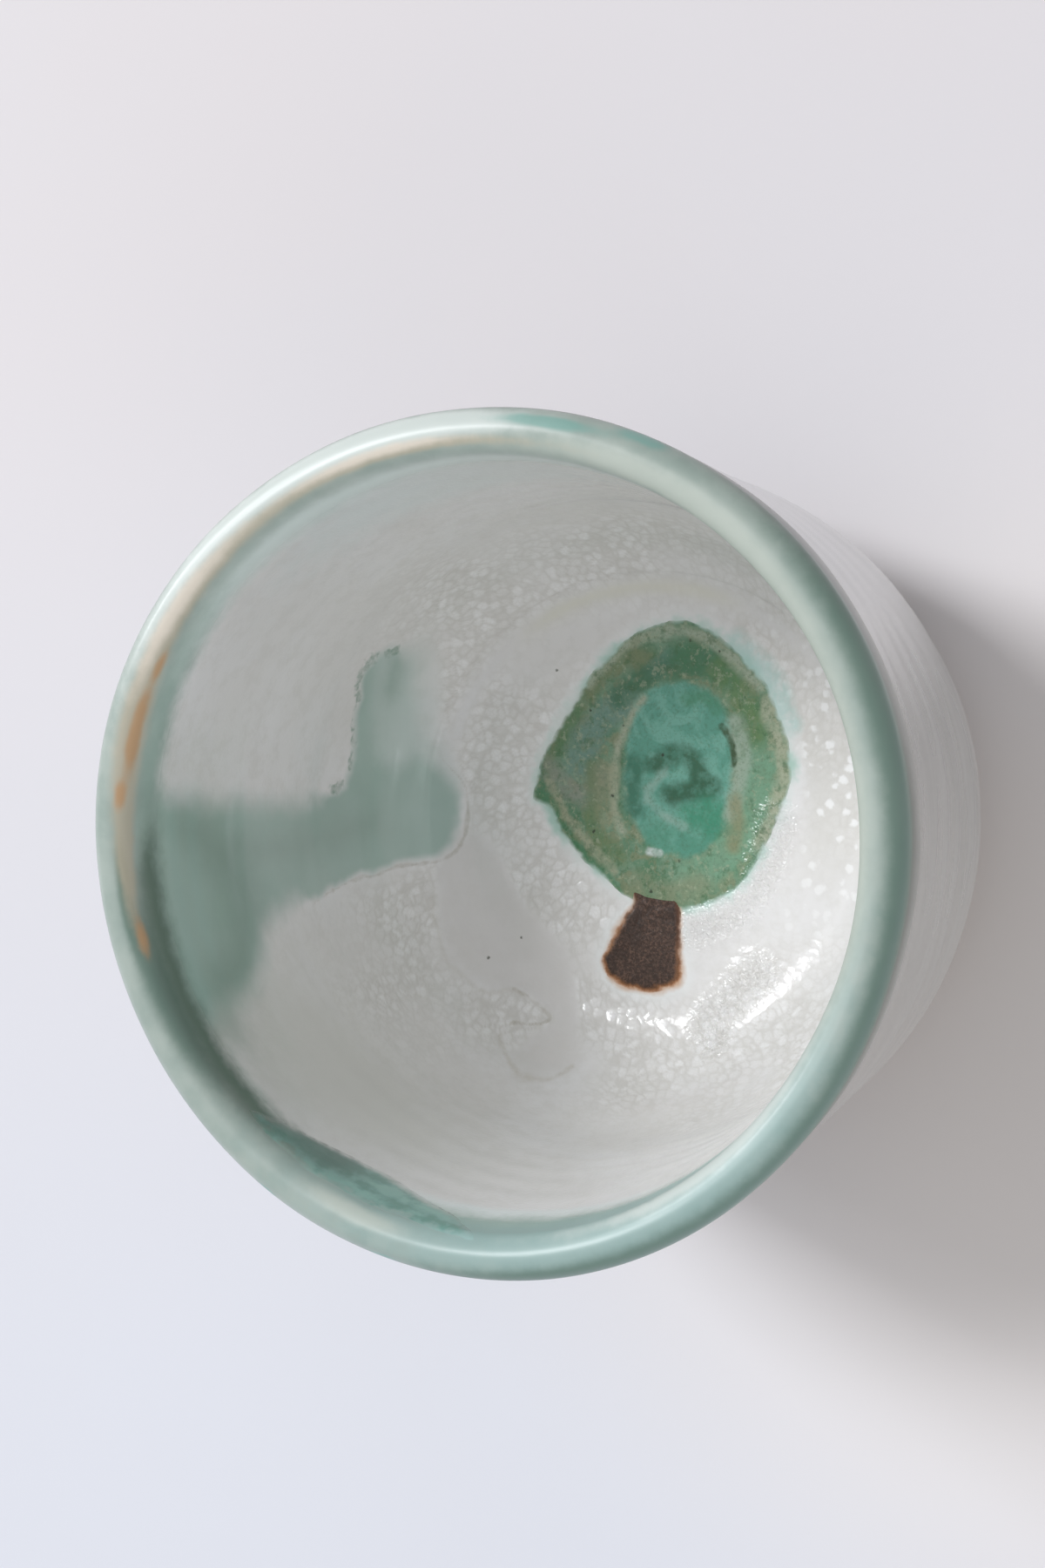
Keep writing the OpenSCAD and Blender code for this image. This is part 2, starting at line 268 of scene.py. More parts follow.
FLOOR_STROKES = {
    "halo": (1.5, (176, 216, 208), 0.6, 1.8, [(19.5, -13), (16.5, -15.4), (13, -17.2), (9, -18.2)]),
    "shoreline": (0.16, (204, 199, 188), 0.4, 0.7, [(-7.6, 29.6), (-12, 29), (-15.3, 28), (-17.9, 25.8),
        (-19.9, 23.4), (-20, 20.7), (-20.9, 19.2)]),
    "curl": (0.14, (190, 184, 172), 0.8, 0.35, [(-19.9, 20.4), (-20.9, 19), (-22.7, 17), (-24, 16),
        (-24.6, 17.8), (-24, 20.4)]),
    "curl_low": (0.16, (196, 189, 175), 0.5, 0.5, [(-25.3, 21.3), (-27.8, 20), (-30.1, 17.4), (-31, 14.6),
        (-29.9, 12.3)]),
}
SPECKS = [(2.8, 5.3), (11.2, 2.6), (-1.4, 8.1), (13.6, 6.8), (-9.6, 1.5), (-6.1, -2.5), (18.8, -10.6),
          (20.2, -7.3), (7, -1.7), (18.7, 10.2), (-13.8, 18.9), (-16, 23.3)]
SPECK_R = 0.2

# Where the white glaze has crawled into cells most: half the width, and the line of each such belt
FOAM = [(4.5, [(28, 16), (22, 21), (15, 22), (9.4, 21), (14, 15.5)]), (3.5, [(29, 10), (31, 2), (30, -8)]),
        (3.5, [(2, 18), (-6, 14.5), (-13, 11)]), (3, [(-17, 30), (-22, 25.5), (-23, 20)]),
        (4, [(-24, 9), (-30, 2), (-31, -10), (-28, -18)]), (2.5, [(-9, 31.5), (-13, 30.5)]),
        (2.5, [(19, -16.5), (13, -21), (6, -23.5)])]

# The belts where it is pebbled and glitters, given in the same way
PEBBLES = [(2.6, [(-3, -15.4), (-9.5, -12.6), (-13, -9.6), (-14.9, -4)]),
           (2.8, [(-20.5, -11), (-23, -8), (-25.4, -5), (-28, -4.5)])]

# Lines on the wall, seen as its outlines are: half the width, and the line. The splash is hazy along HAZE.
WALL_STROKES = {
    "contour": (0.12, [(-6, 50), (-5, 46.4), (-3.9, 41.5), (-4.1, 38.4), (-3, 34.9), (-3.3, 30.4),
        (-2.2, 27.6), (1.5, 25.8), (5.9, 25.7), (9.4, 28)]),
    "feather": (0.35, [(7.2, 44), (9, 41.9), (13, 41.2), (17, 41), (21.3, 40.2), (23, 38.3), (23.6, 35.5)]),
    "core": (2.2, [(4, 68), (0, 64), (-5, 62), (-9, 63.5), (-12, 67)]),
    "stem_core": (1.6, [(2, 62), (1, 54), (1.6, 46), (2.6, 38)]),
    "arm": (3.8, [(24, 34.4), (18, 34.3), (13, 34.2)]),
    "arm_core": (1.0, [(21.4, 35.4), (19.4, 35.8)]),
}
HAZE = [(23.5, 30), (16, 28), (11, 27)]

# Patches of colour on the lip and inside below it: azimuth in degrees, half its length in degrees, place
# across the lip in millimetres from the crest, inwards below zero, and half its width
LIP_PATCHES = {
    "rust": [(56, 3, -2.1, 0.5), (64, 4, -1.9, 0.7), (70, 4, -1.9, 0.8), (77, 2.5, -1.3, 0.7),
        (99, 3.5, -2.2, 0.7)],
    "tan": [(45, 20, -1.3, 1.0), (68, 14, -1.7, 1.7), (87, 11, -1.9, 0.9), (5, 24, -1.1, 0.6)],
    # The pinkish patches on the crest round azimuths 8 and 46 are a painted highlight
    "pink_painted_highlight": [(46, 14, -0.8, 0.9), (8, 14, -0.7, 0.5)],
    # The pale patches on the next line are painted highlight: on the crest round azimuths 0 and 30, where
    # the glaze also breaks pale over the edge, and on the inner lip round 214
    "light": [(30, 30, 0.7, 1.6), (0, 16, 0.9, 1.5), (214, 25, -2.4, 1.1)],
    "dark": [(94, 13, -7.8, 5.0), (106, 13, -5.6, 4.2), (123, 11, -4.3, 3.0), (142, 9, -8.5, 4.6)],
    "veil": [(113, 9, -10, 5.0)],
    # A darker warm grey over the lower left wall
    "lower_left_grey": [(132, 28, -24, 15)],
    "pale": [(2, 46, -6.5, 5.5)],
    "cream": [(322, 28, -1.2, 1.7), (268, 36, -3.0, 2.0), (154, 9, -1.4, 1.0)],
    "teal": [(342, 8, 1.1, 0.8), (329, 4, 2.4, 1.0), (141, 2, 2.2, 0.5), (160, 2.5, 2.4, 0.6)],
    "blue": [(196, 52, -2.0, 6.0)],
    # The darker teal patches outside the lip, round azimuths 186, 235 and 284, are painted shade on the side
    # away from the window; the two inside darken its inner edge at the left
    "deep_and_shade": [(186, 24, 2.3, 1.7), (235, 34, 2.7, 2.0), (284, 30, 2.4, 2.4), (110, 18, -2.6, 1.9),
        (92, 9, -1.3, 0.6)],
    # The pale patches below the lip are a pale teal smear, lightened to near white as painted light on the
    # upper inner wall, which gets little light
    "smear_and_painted_light": [(0, 32, -14, 9.0), (180, 26, -9.5, 2.2)],
}


def smooth_line(points, closed=False, steps=5):
    """A smooth line through the points, by the Catmull-Rom rule."""
    p = np.array(points, float)
    if closed:
        a, b, c, d = np.roll(p, 1, 0), p, np.roll(p, -1, 0), np.roll(p, -2, 0)
    else:
        padded = np.vstack([2 * p[0] - p[1], p, 2 * p[-1] - p[-2]])
        a, b, c, d = padded[:-3], padded[1:-2], padded[2:-1], padded[3:]
    out = []
    for t in np.arange(steps) / steps:
        out.append(0.5 * (2 * b + (c - a) * t + (2 * a - 5 * b + 4 * c - d) * t ** 2
                          + (3 * b - a - 3 * c + d) * t ** 3))
    line = np.stack(out, 1).reshape(-1, 2)
    return line if closed else np.vstack([line, p[-1]])


def nearest(line, x, y):
    """Distance from each point to the nearest place on a line of straight pieces."""
    p = np.stack([x.ravel(), y.ravel()], 1)
    least = np.full(len(p), 1e9)
    for a, b in zip(line, line[1:]):
        edge = b - a
        t = np.clip((p - a) @ edge / max(edge @ edge, 1e-12), 0, 1)
        least = np.minimum(least, np.hypot(*(p - a - t[:, None] * edge).T))
    return least.reshape(x.shape)


def distance_along(points, x, y):
    """Distance from each point to the smooth line through the given ones."""
    return nearest(smooth_line(points), x, y)


def distance_to(outline, x, y):
    """Distance from each point to a closed smooth outline, negative inside it."""
    line = smooth_line(outline, closed=True)
    inside = np.zeros(x.shape, bool)
    for a, b in zip(line, np.roll(line, -1, 0)):
        if a[1] != b[1]:
            cut = a[0] + (y - a[1]) * (b[0] - a[0]) / (b[1] - a[1])
            inside ^= ((a[1] > y) != (b[1] > y)) & (x < cut)
    away = nearest(np.vstack([line, line[0]]), x, y)
    return np.where(inside, -away, away)


def plain_surface():
    """The turned surface before any relief: a little out of round, as a thrown cup is."""
    r, z = LINE.at(S)
    points = np.empty((len(S), COLUMNS, 3))
    height = smooth(CORNER_Z * 0.5, CUP_H, z)[:, None]
    lobes = LOBES_2 * np.cos(2 * TURN + 1.0) - LOBES_3 * np.cos(3 * TURN)
    radius = r[:, None] + height * lobes
    points[..., 0] = radius * np.cos(TURN)
    points[..., 1] = radius * np.sin(TURN)
    points[..., 2] = z[:, None] + LIP_WAVE * height * np.sin(2 * TURN + 0.6)
    return points


def normals_of(points):
    """Unit normals of the turned surface, towards the air."""
    along = np.gradient(points, axis=0)
    across = np.roll(points, -1, 1) - np.roll(points, 1, 1)
    n = np.cross(along, across)
    n[0] = (0, 0, 1)
    return n / np.maximum(np.linalg.norm(n, axis=2, keepdims=True), 1e-12)


def sampled(points, size, function):
    """A noise function at every point, in cells of the given size."""
    flat = (points / size).reshape(-1, 3)
    out = np.array([function(Vector(p)) for p in flat])
    return out.reshape(points.shape[:-1] + out.shape[1:])


def soft_noise(points, size, offset=0.0):
    return sampled(points + offset, size, noise.noise)


PLAIN = plain_surface()
PLAIN_N = normals_of(PLAIN)
FAR = 50.0
FLOOR_ROWS = S < S_CORNER + 8
INNER_ROWS = S < S_LIP_IN
MOUTH_ROWS = S < LINE.crest + 2

# The same places moved a little, so that every outline drawn on them wanders as a poured edge does. Of each
# noise: how far it moves them, the size of its cells, and its offset.
WANDER = PLAIN.copy()
for reach, size, offset in ((0.38, 4.2, 0), (0.12, 1.2, 50)):
    WANDER[MOUTH_ROWS] += reach * sampled(PLAIN[MOUTH_ROWS] + offset, size, noise.noise_vector)
PX, PY, PZ = WANDER[..., 0], WANDER[..., 1], WANDER[..., 2]
FIELDS = {}


def floor_field(function, line):
    out = np.full(PX.shape, FAR)
    out[FLOOR_ROWS] = function(line, PX[FLOOR_ROWS], PY[FLOOR_ROWS])
    return out


def wall_field(function, line, turn=0.0):
    """A field on the inside wall round +Y, or round another side by turning the cup."""
    out = np.full(PX.shape, FAR)
    x, y = PX[MOUTH_ROWS], PY[MOUTH_ROWS]
    side = x * math.cos(turn) + y * math.sin(turn)
    back = y * math.cos(turn) - x * math.sin(turn)
    lean = LEAN * (back + PZ[MOUTH_ROWS])
    out[MOUTH_ROWS] = np.where(back > 0, function(line, side, lean), FAR)
    return out


def belts(table):
    """Distance from each point to the nearest belt, each given by half its width and its line."""
    return np.min([floor_field(distance_along, line) - half for half, line in table], axis=0)


def turn_from(degrees):
    """Angle in degrees from each column to an azimuth, between -180 and 180."""
    return (np.degrees(TURN) - degrees + 180) % 360 - 180


def fill_fields():
    """What the meshes and the materials need to know at each point of the surface."""
    for name, outline in (("pool", POOL), ("eye", EYE), ("iron", IRON), ("tongue", TONGUE)):
        FIELDS[name] = floor_field(distance_to, outline)
    for strokes in (POOL_STROKES, EYE_STROKES, TOP_STROKES, FLOOR_STROKES):
        for name, (half, _, _, _, line) in strokes.items():
            FIELDS[name] = floor_field(distance_along, line) - half
    for name, (half, line) in WALL_STROKES.items():
        FIELDS[name] = wall_field(distance_along, line) - half
    FIELDS["specks"] = belts([(SPECK_R, [dot, dot]) for dot in SPECKS])
    FIELDS["pebbles"] = 1 - smooth(-2.2, 1.2, belts(PEBBLES))
    FIELDS["ink"] = wall_field(distance_to, SPLASH)
    FIELDS["splash"] = np.maximum(FIELDS["ink"], S[:, None] - S_LIP_IN)
    sharp = np.minimum(FIELDS["contour"], FIELDS["feather"])
    haze = wall_field(distance_along, HAZE)
    FIELDS["soft"] = 1.1 + 2.4 * smooth(0.8, 5.0, sharp) + 3.2 * (1 - smooth(1.0, 7.0, haze))
    run = [(x, LIP_EDGE_W + w) for x, w in RUN]
    FIELDS["run"] = wall_field(distance_to, run, RUN_TURN)
    across = (S - LINE.crest)[:, None]
    FIELDS["across"] = across + np.zeros(PX.shape)
    for name, patches in LIP_PATCHES.items():
        FIELDS[name] = sum(hump(0, length, turn_from(azimuth)) * hump(place, width, across)
                           for azimuth, length, place, width in patches).clip(0, 1)
    shore = 7.2 + 1.6 * hump(0, 30, turn_from(180)) + 1.2 * hump(0, 40, turn_from(10))
    FIELDS["shore"] = across + shore
    spots = hump(0, 44, turn_from(276)) * smooth(18, 21, np.hypot(PX, PY)) * smooth(0.5, 2, FIELDS["pool"])
    FIELDS["spots"] = spots * (S < S_CORNER)[:, None]


def cell_values(p):
    """How far a place is from its cell's border, and a tone that is the same all over the cell."""
    distances, points = noise.voronoi(p)
    tone = math.sin(points[0].dot(Vector((12.99, 78.23, 37.72)))) * 43758.5
    return distances[1] - distances[0], tone - math.floor(tone)


def fill_crawl():
    """Where the white glaze has crawled into cells: over the floor and the corner, fading up the wall."""
    rows = INNER_ROWS
    s = S[rows][:, None]
    patchy = soft_noise(PLAIN[rows], 9.0, 30.0)
    foam = 1 - smooth(-2.5, 3.0, belts(FOAM)[rows])
    base = 1 - smooth(S_CORNER - 18, S_CORNER + 2, s)
    trough = hump(LINE.inside_radius(27.6), 1.2, s) * smooth(4, 14, PX[rows])
    strength = np.clip(base * (0.35 + 0.8 * patchy) + foam * (0.8 + 0.5 * patchy), 0, 1) * (1 - 0.9 * trough)
    strength *= smooth(-0.5, 1.5, FIELDS["splash"][rows]) * smooth(-0.8, 0.3, FIELDS["tongue"][rows])
    warp = 0.3 * sampled(PLAIN[rows] + 9, 2.2, noise.noise_vector)
    values = sampled(PLAIN[rows] + warp, 1.3, cell_values)
    for name in ("crawl", "cell", "tone", "dome", "trough"):
        FIELDS[name] = np.zeros(PX.shape)
    FIELDS["trough"][rows] = trough * smooth(-17, -9, PY[rows]) * (1 - smooth(9, 16, PY[rows]))
    FIELDS["crawl"][rows] = strength
    FIELDS["cell"][rows] = (1 - smooth(0.0, 0.3, values[..., 0])) * strength
    FIELDS["dome"][rows] = smooth(0.0, 0.5, values[..., 0]) * strength
    FIELDS["tone"][rows] = values[..., 1] * strength


def relief():
    """Heights of the hand-made surface over the plain one."""
    s, z = S[:, None], PLAIN[..., 2]
    spiral = TURN / (2 * math.pi)
    uneven = soft_noise(PLAIN, 22.0, 5.0)
    out = UNEVEN * soft_noise(PLAIN, 16.0)
    wall_in = smooth(S_CORNER - 12, S_CORNER + 2, s) * (1 - smooth(S_LIP_IN - 6, S_LIP_IN, s))
    rings = np.sin(2 * math.pi * (z / RING_IN_PITCH + spiral) + 3 * uneven)
    out += RING_IN * wall_in * (0.5 + uneven) * rings
    wall_out = smooth(S_LIP_OUT, S_LIP_OUT + 6, s) * (1 - smooth(S_GLAZE_END - 8, S_GLAZE_END, s))
    out += RING_OUT * wall_out * np.sin(2 * math.pi * (z / RING_OUT_PITCH - spiral) + 4 * uneven)
    step = LINE.inside_radius(STEP_R)
    shown = 0.2 + 0.8 * smooth(2, 14, PX)
    out -= STEP_DEPTH * shown * smooth(step - 3.2, step - 1.2, s) * (1 - smooth(step - 0.3, step + 0.35, s))
    out += CELL_RISE * FIELDS["dome"]
    out += PEBBLE_RISE * FIELDS["pebbles"] * soft_noise(PLAIN, 0.75, 20.0)
    out += RIPPLE * soft_noise(PLAIN, 4.5, 70.0) * (1 - smooth(S_CORNER, S_CORNER + 15, s))
    out += TONGUE_RISE * (1 - smooth(-1.2, 0.2, FIELDS["tongue"]))
    return out


fill_fields()
fill_crawl()
SKIN = PLAIN + PLAIN_N * relief()[..., None]
SKIN_N = normals_of(SKIN)


# Meshes
def add_object(name, data):
    obj = bpy.data.objects.new(name, data)
    bpy.context.scene.collection.objects.link(obj)
    return obj


def new_mesh(name, verts, faces, fields=None, normals=None):
    mesh = bpy.data.meshes.new(name)
    mesh.from_pydata((np.asarray(verts) * MM).tolist(), [], faces)
    mesh.shade_smooth()
    for key, values in (fields or {}).items():
        mesh.attributes.new(key, "FLOAT", "POINT").data.foreach_set("value", np.asarray(values, np.float32))
    if normals is not None:
        mesh.normals_split_custom_set_from_vertices(np.asarray(normals).tolist())
    return add_object(name, mesh)


def ring_faces(rings, closed):
    """Quads between rings of columns; rings holds the number of each ring's first vertex."""
    faces = []
    pairs = list(zip(rings, rings[1:])) + ([(rings[-1], rings[0])] if closed else [])
    for a, b in pairs:
        for j in range(COLUMNS):
            k = (j + 1) % COLUMNS
            faces.append((a + j, b + j, b + k, a + k))
    return faces


def coat(name, first, last, keys):
    """A closed coat of glaze: the surface rows on top, and the clay side below them in fewer rows."""
    pole = first == 0
    top = list(range(first + pole, last + 1))
    under = sorted(set(range(last, first, -COARSE_STEP)) | (set() if pole else {first}), reverse=True)
    low = SKIN - SKIN_N * (GLAZE_T - COAT_GAP)
    verts = np.concatenate([SKIN[i] for i in top] + [low[i] for i in under])
    normals = np.concatenate([SKIN_N[i] for i in top] + [-SKIN_N[i] for i in under])
    rows = top + under
    fields = {k: np.concatenate([FIELDS[k][i] for i in rows]) for k in keys}
    rings = [i * COLUMNS for i in range(len(rows))]
    faces = ring_faces(rings, closed=not pole)
    if pole:
        verts = np.vstack([verts, SKIN[0, 0], low[0, 0]])
        normals = np.vstack([normals, (0, 0, 1), (0, 0, -1)])
        fields = {k: np.append(v, [FIELDS[k][0, 0]] * 2) for k, v in fields.items()}
        faces += fans(rings[0], len(verts) - 2, rings[-1], len(verts) - 1)
    return new_mesh(name, verts, faces, fields, normals)


def fans(top_ring, top_point, low_ring, low_point):
    """Triangles that close a turned mesh at its axis, above and below."""
    faces = []
    for j in range(COLUMNS):
        k = (j + 1) % COLUMNS
        faces.append((top_point, top_ring + j, top_ring + k))
        faces.append((low_point, low_ring + k, low_ring + j))
    return faces


def mark(name, key, thickness, ramp, keys, margin=0.5, base=0.0):
    """A mark of glaze: the surface inside an outline, lifted over a base by its thickness, along a ramp
    from its border inwards. Its edge dips under the coat below, and a solidify modifier gives it a back."""
    distance = FIELDS[key]
    lift = base + thickness * (1 - smooth(-ramp, 0.15, distance)) - EDGE_DIP * smooth(-0.1, margin, distance)
    points = SKIN + SKIN_N * lift[..., None]
    near = distance < margin
    rows = np.nonzero(near.any(1))[0]
    numbers, places, faces = {}, [], []

    def vertex(i, j):
        place = (i, j if i else 0)
        if place not in numbers:
            numbers[place] = len(places)
            places.append(place)
        return numbers[place]

    for i in range(rows.min(), min(rows.max() + 1, len(S) - 1)):
        both = near[i] & near[i + 1] & np.roll(near[i], -1) & np.roll(near[i + 1], -1)
        for j in np.nonzero(both)[0]:
            k = (j + 1) % COLUMNS
            face = [vertex(i, j), vertex(i + 1, j), vertex(i + 1, k), vertex(i, k)]
            faces.append(face if i else face[:3])
    index = tuple(np.array(places).T)
    obj = new_mesh(name, points[index], faces, {k: FIELDS[k][index] for k in keys})
    solid = obj.modifiers.new("body", "SOLIDIFY")
    solid.thickness = BACK_T * MM
    solid.offset = -1
    return obj


def rounded(points, radius, steps=4):
    """A line with its inner corners rounded off."""
    p = np.array(points, float)
    out = [p[0]]
    for before, here, after in zip(p, p[1:], p[2:]):
        to_a, to_b = before - here, after - here
        cut = min(radius, np.linalg.norm(to_a) * 0.45, np.linalg.norm(to_b) * 0.45)
        a = here + to_a / np.linalg.norm(to_a) * cut
        b = here + to_b / np.linalg.norm(to_b) * cut
        for t in np.linspace(0, 1, steps + 1):
            out.append((1 - t) ** 2 * a + 2 * t * (1 - t) * here + t ** 2 * b)
    out.append(p[-1])
    return np.array(out)


def foot_line():
    """The bare foot in section, from under the glaze line to the middle of the recess."""
    inner = FOOT_R - FOOT_W
    points = [(FOOT_R + FOOT_REACH, FOOT_H + GLAZE_T + FOOT_RISE), (FOOT_R, FOOT_H + GLAZE_T),
              (FOOT_R, FOOT_BEVEL), (FOOT_R - FOOT_BEVEL, 0.0), (inner + FOOT_BEVEL, 0.0),
              (inner, FOOT_BEVEL), (inner, FOOT_H), (0.0, FOOT_H)]
    line = rounded(points, FOOT_ROUND)
    dense = [line[0]]
    for a, b in zip(line, line[1:]):
        count = max(1, math.ceil(np.linalg.norm(b - a) / FOOT_STEP))
        dense.extend(a + (b - a) * i / count for i in range(1, count + 1))
    return np.array(dense)


def clay_body():
    """The clay under the glaze, with its bare foot."""
    under = SKIN - SKIN_N * GLAZE_T
    last = int(np.searchsorted(S, LINE.outside_height(FOOT_H + HIP_STOP)))
    rows = list(range(COARSE_STEP, ROW_GLAZE_END - 4, COARSE_STEP)) + list(range(ROW_GLAZE_END - 3, last))
    rings = [under[i] for i in rows]
    foot = foot_line()
    for r, z in foot[1:-1]:
        rings.append(np.stack([r * np.cos(TURN), r * np.sin(TURN), np.full(COLUMNS, z)], 1))
    verts = np.concatenate(rings)
    firsts = [i * COLUMNS for i in range(len(rings))]
    verts = np.vstack([verts, under[0, 0], (0, 0, foot[-1][1])])
    faces = ring_faces(firsts, closed=False) + fans(firsts[0], len(verts) - 2, firsts[-1], len(verts) - 1)
    return new_mesh("thrown_body", verts, faces)


# Materials
def rgb(r, g, b):
    """A colour as it is seen, from 11 to 255, turned into the linear value that a shader takes."""
    return tuple(((c / 255 + 0.055) / 1.055) ** 2.4 for c in (r, g, b)) + (1.0,)


class Shader:
    """A material and short names for the nodes that it is made of."""

    def __init__(self, name, roughness, coat=0.0, specular=0.5, coat_roughness=0.03):
        self.material = bpy.data.materials.new(name)
        self.material.use_nodes = True
        self.tree = self.material.node_tree
        self.surface = self.tree.nodes["Principled BSDF"]
        self.put(self.surface, {"Roughness": roughness, "Coat Weight": coat,
                                "Coat Roughness": coat_roughness, "Specular IOR Level": specular})
        self.place = self.node("ShaderNodeTexCoord", {}, "Object")
        self.made = {}

    def put(self, node, inputs):
        """Set or link inputs of a node, each by its name or number."""
        for key, value in inputs.items():
            if isinstance(value, bpy.types.NodeSocket):
                self.tree.links.new(value, node.inputs[key])
            else:
                node.inputs[key].default_value = value

    def node(self, kind, inputs, output, **settings):
        """An output of a new node."""
        made = self.tree.nodes.new(kind)
        for key, value in settings.items():
            setattr(made, key, value)
        self.put(made, inputs)
        return made.outputs[output]

    def math(self, operation, a, b):
        return self.node("ShaderNodeMath", {0: a, 1: b}, 0, operation=operation)

    def ramp(self, value, low, high, to_low=0.0, to_high=1.0):
        inputs = {"Value": value, "From Min": low, "From Max": high, "To Min": to_low, "To Max": to_high}
        return self.node("ShaderNodeMapRange", inputs, "Result", interpolation_type="SMOOTHSTEP")

    def mix(self, factor, a, b):
        """Colour b laid over colour a: inputs 6 and 7 and output 2 are the node's colours."""
        return self.node("ShaderNodeMix", {0: factor, 6: a, 7: b}, 2, data_type="RGBA")

    def once(self, name, make):
        """An output that several parts of the material share."""
        if name not in self.made:
            self.made[name] = make()
        return self.made[name]

    def field(self, name):
        """A value that the mesh carries at its points."""
        return self.once(name, lambda: self.node("ShaderNodeAttribute", {}, "Fac", attribute_name=name))

    def swing(self, size_mm, width, detail=2, roughness=0.5):
        """Noise round zero, mostly within half the given width."""
        centred = self.math("SUBTRACT", self.noise(size_mm, detail, roughness), 0.5)
        return self.math("MULTIPLY", centred, width)

    def wide(self):
        """A slow drift in millimetres, about -0.5 to 0.5."""
        return self.once("_wide", lambda: self.swing(3.4, 2.2))

    def wobble(self):
        """A drift in millimetres that makes an edge wander, about -0.8 to 0.8."""
        return self.once("_wobble", lambda: self.math("ADD", self.wide(), self.swing(0.9, 1.1)))

    def patchy(self):
        """A strength that breaks a stroke up, from 0.5 to 1."""
        return self.once("_patchy", lambda: self.ramp(self.noise(1.7, 3, 0.65), 0.32, 0.6, 0.5, 1.0))

    def wandering(self, name, wander=1.0):
        """A distance that the mesh carries, with the wobble added to it."""
        return self.math("ADD", self.field(name), self.math("MULTIPLY", self.wobble(), wander))

    def stroke(self, colour, name, tint, amount, soft, wander=0.6, broken=True):
        """Colour laid over another along a stroke, with a soft wandering edge."""
        cover = self.ramp(self.wandering(name, wander), -soft / 2, soft / 2, amount, 0.0)
        if broken:
            cover = self.math("MULTIPLY", cover, self.patchy())
        return self.mix(cover, colour, tint)

    def strokes(self, colour, table, wander=0.8):
        for name, (_, tint, amount, soft, _) in table.items():
            colour = self.stroke(colour, name, rgb(*tint), amount, soft, wander)
        return colour

    def patch(self, colour, name, tint, amount, low, high, rough=0.5):
        """Colour laid over another where a patch is strong, broken up by noise."""
        strength = self.math("ADD", self.field(name), self.swing(2.2, rough, 3, 0.6))
        return self.mix(self.ramp(strength, low, high, 0.0, amount), colour, rgb(*tint))

    def patches(self, colour, table):
        for name, settings in table.items():
            colour = self.patch(colour, name, *settings)
        return colour

    def flat(self, colour, name, tint, amount=1.0):
        """Colour laid over another as strongly as a value of the mesh says."""
        return self.mix(self.math("MULTIPLY", self.field(name), amount), colour, rgb(*tint))

    def axis(self, name):
        return self.node("ShaderNodeSeparateXYZ", {0: self.place}, name)

    def scaled(self, x, y, z):
        return self.node("ShaderNodeMapping", {"Vector": self.place, "Scale": (x, y, z)}, "Vector")

    def noise(self, size_mm, detail=2.0, roughness=0.5, vector=None, distortion=0.0):
        inputs = {"Vector": vector or self.place, "Scale": 1 / (size_mm * MM), "Detail": detail,
                  "Roughness": roughness, "Distortion": distortion}
        return self.node("ShaderNodeTexNoise", inputs, "Fac")

    def cells(self, size_mm, feature="F1"):
        inputs = {"Vector": self.place, "Scale": 1 / (size_mm * MM)}
        return self.node("ShaderNodeTexVoronoi", inputs, "Distance", feature=feature)

    def bump(self, height, distance_mm, strength, **normal):
        inputs = {"Strength": strength, "Distance": distance_mm * MM, "Height": height, **normal}
        return self.node("ShaderNodeBump", inputs, "Normal")

    def pebbled(self, distance_mm, normal):
        """Small pits and beads where the glaze is pebbled."""
        height = self.math("MULTIPLY", self.noise(0.55, 2, 0.6), self.field("pebbles"))
        return self.bump(height, distance_mm, 1.0, Normal=normal)

    def finish(self, colour, normal, **more):
        self.put(self.surface, {"Base Color": colour, "Normal": normal, "Coat Normal": normal, **more})
        return self.material


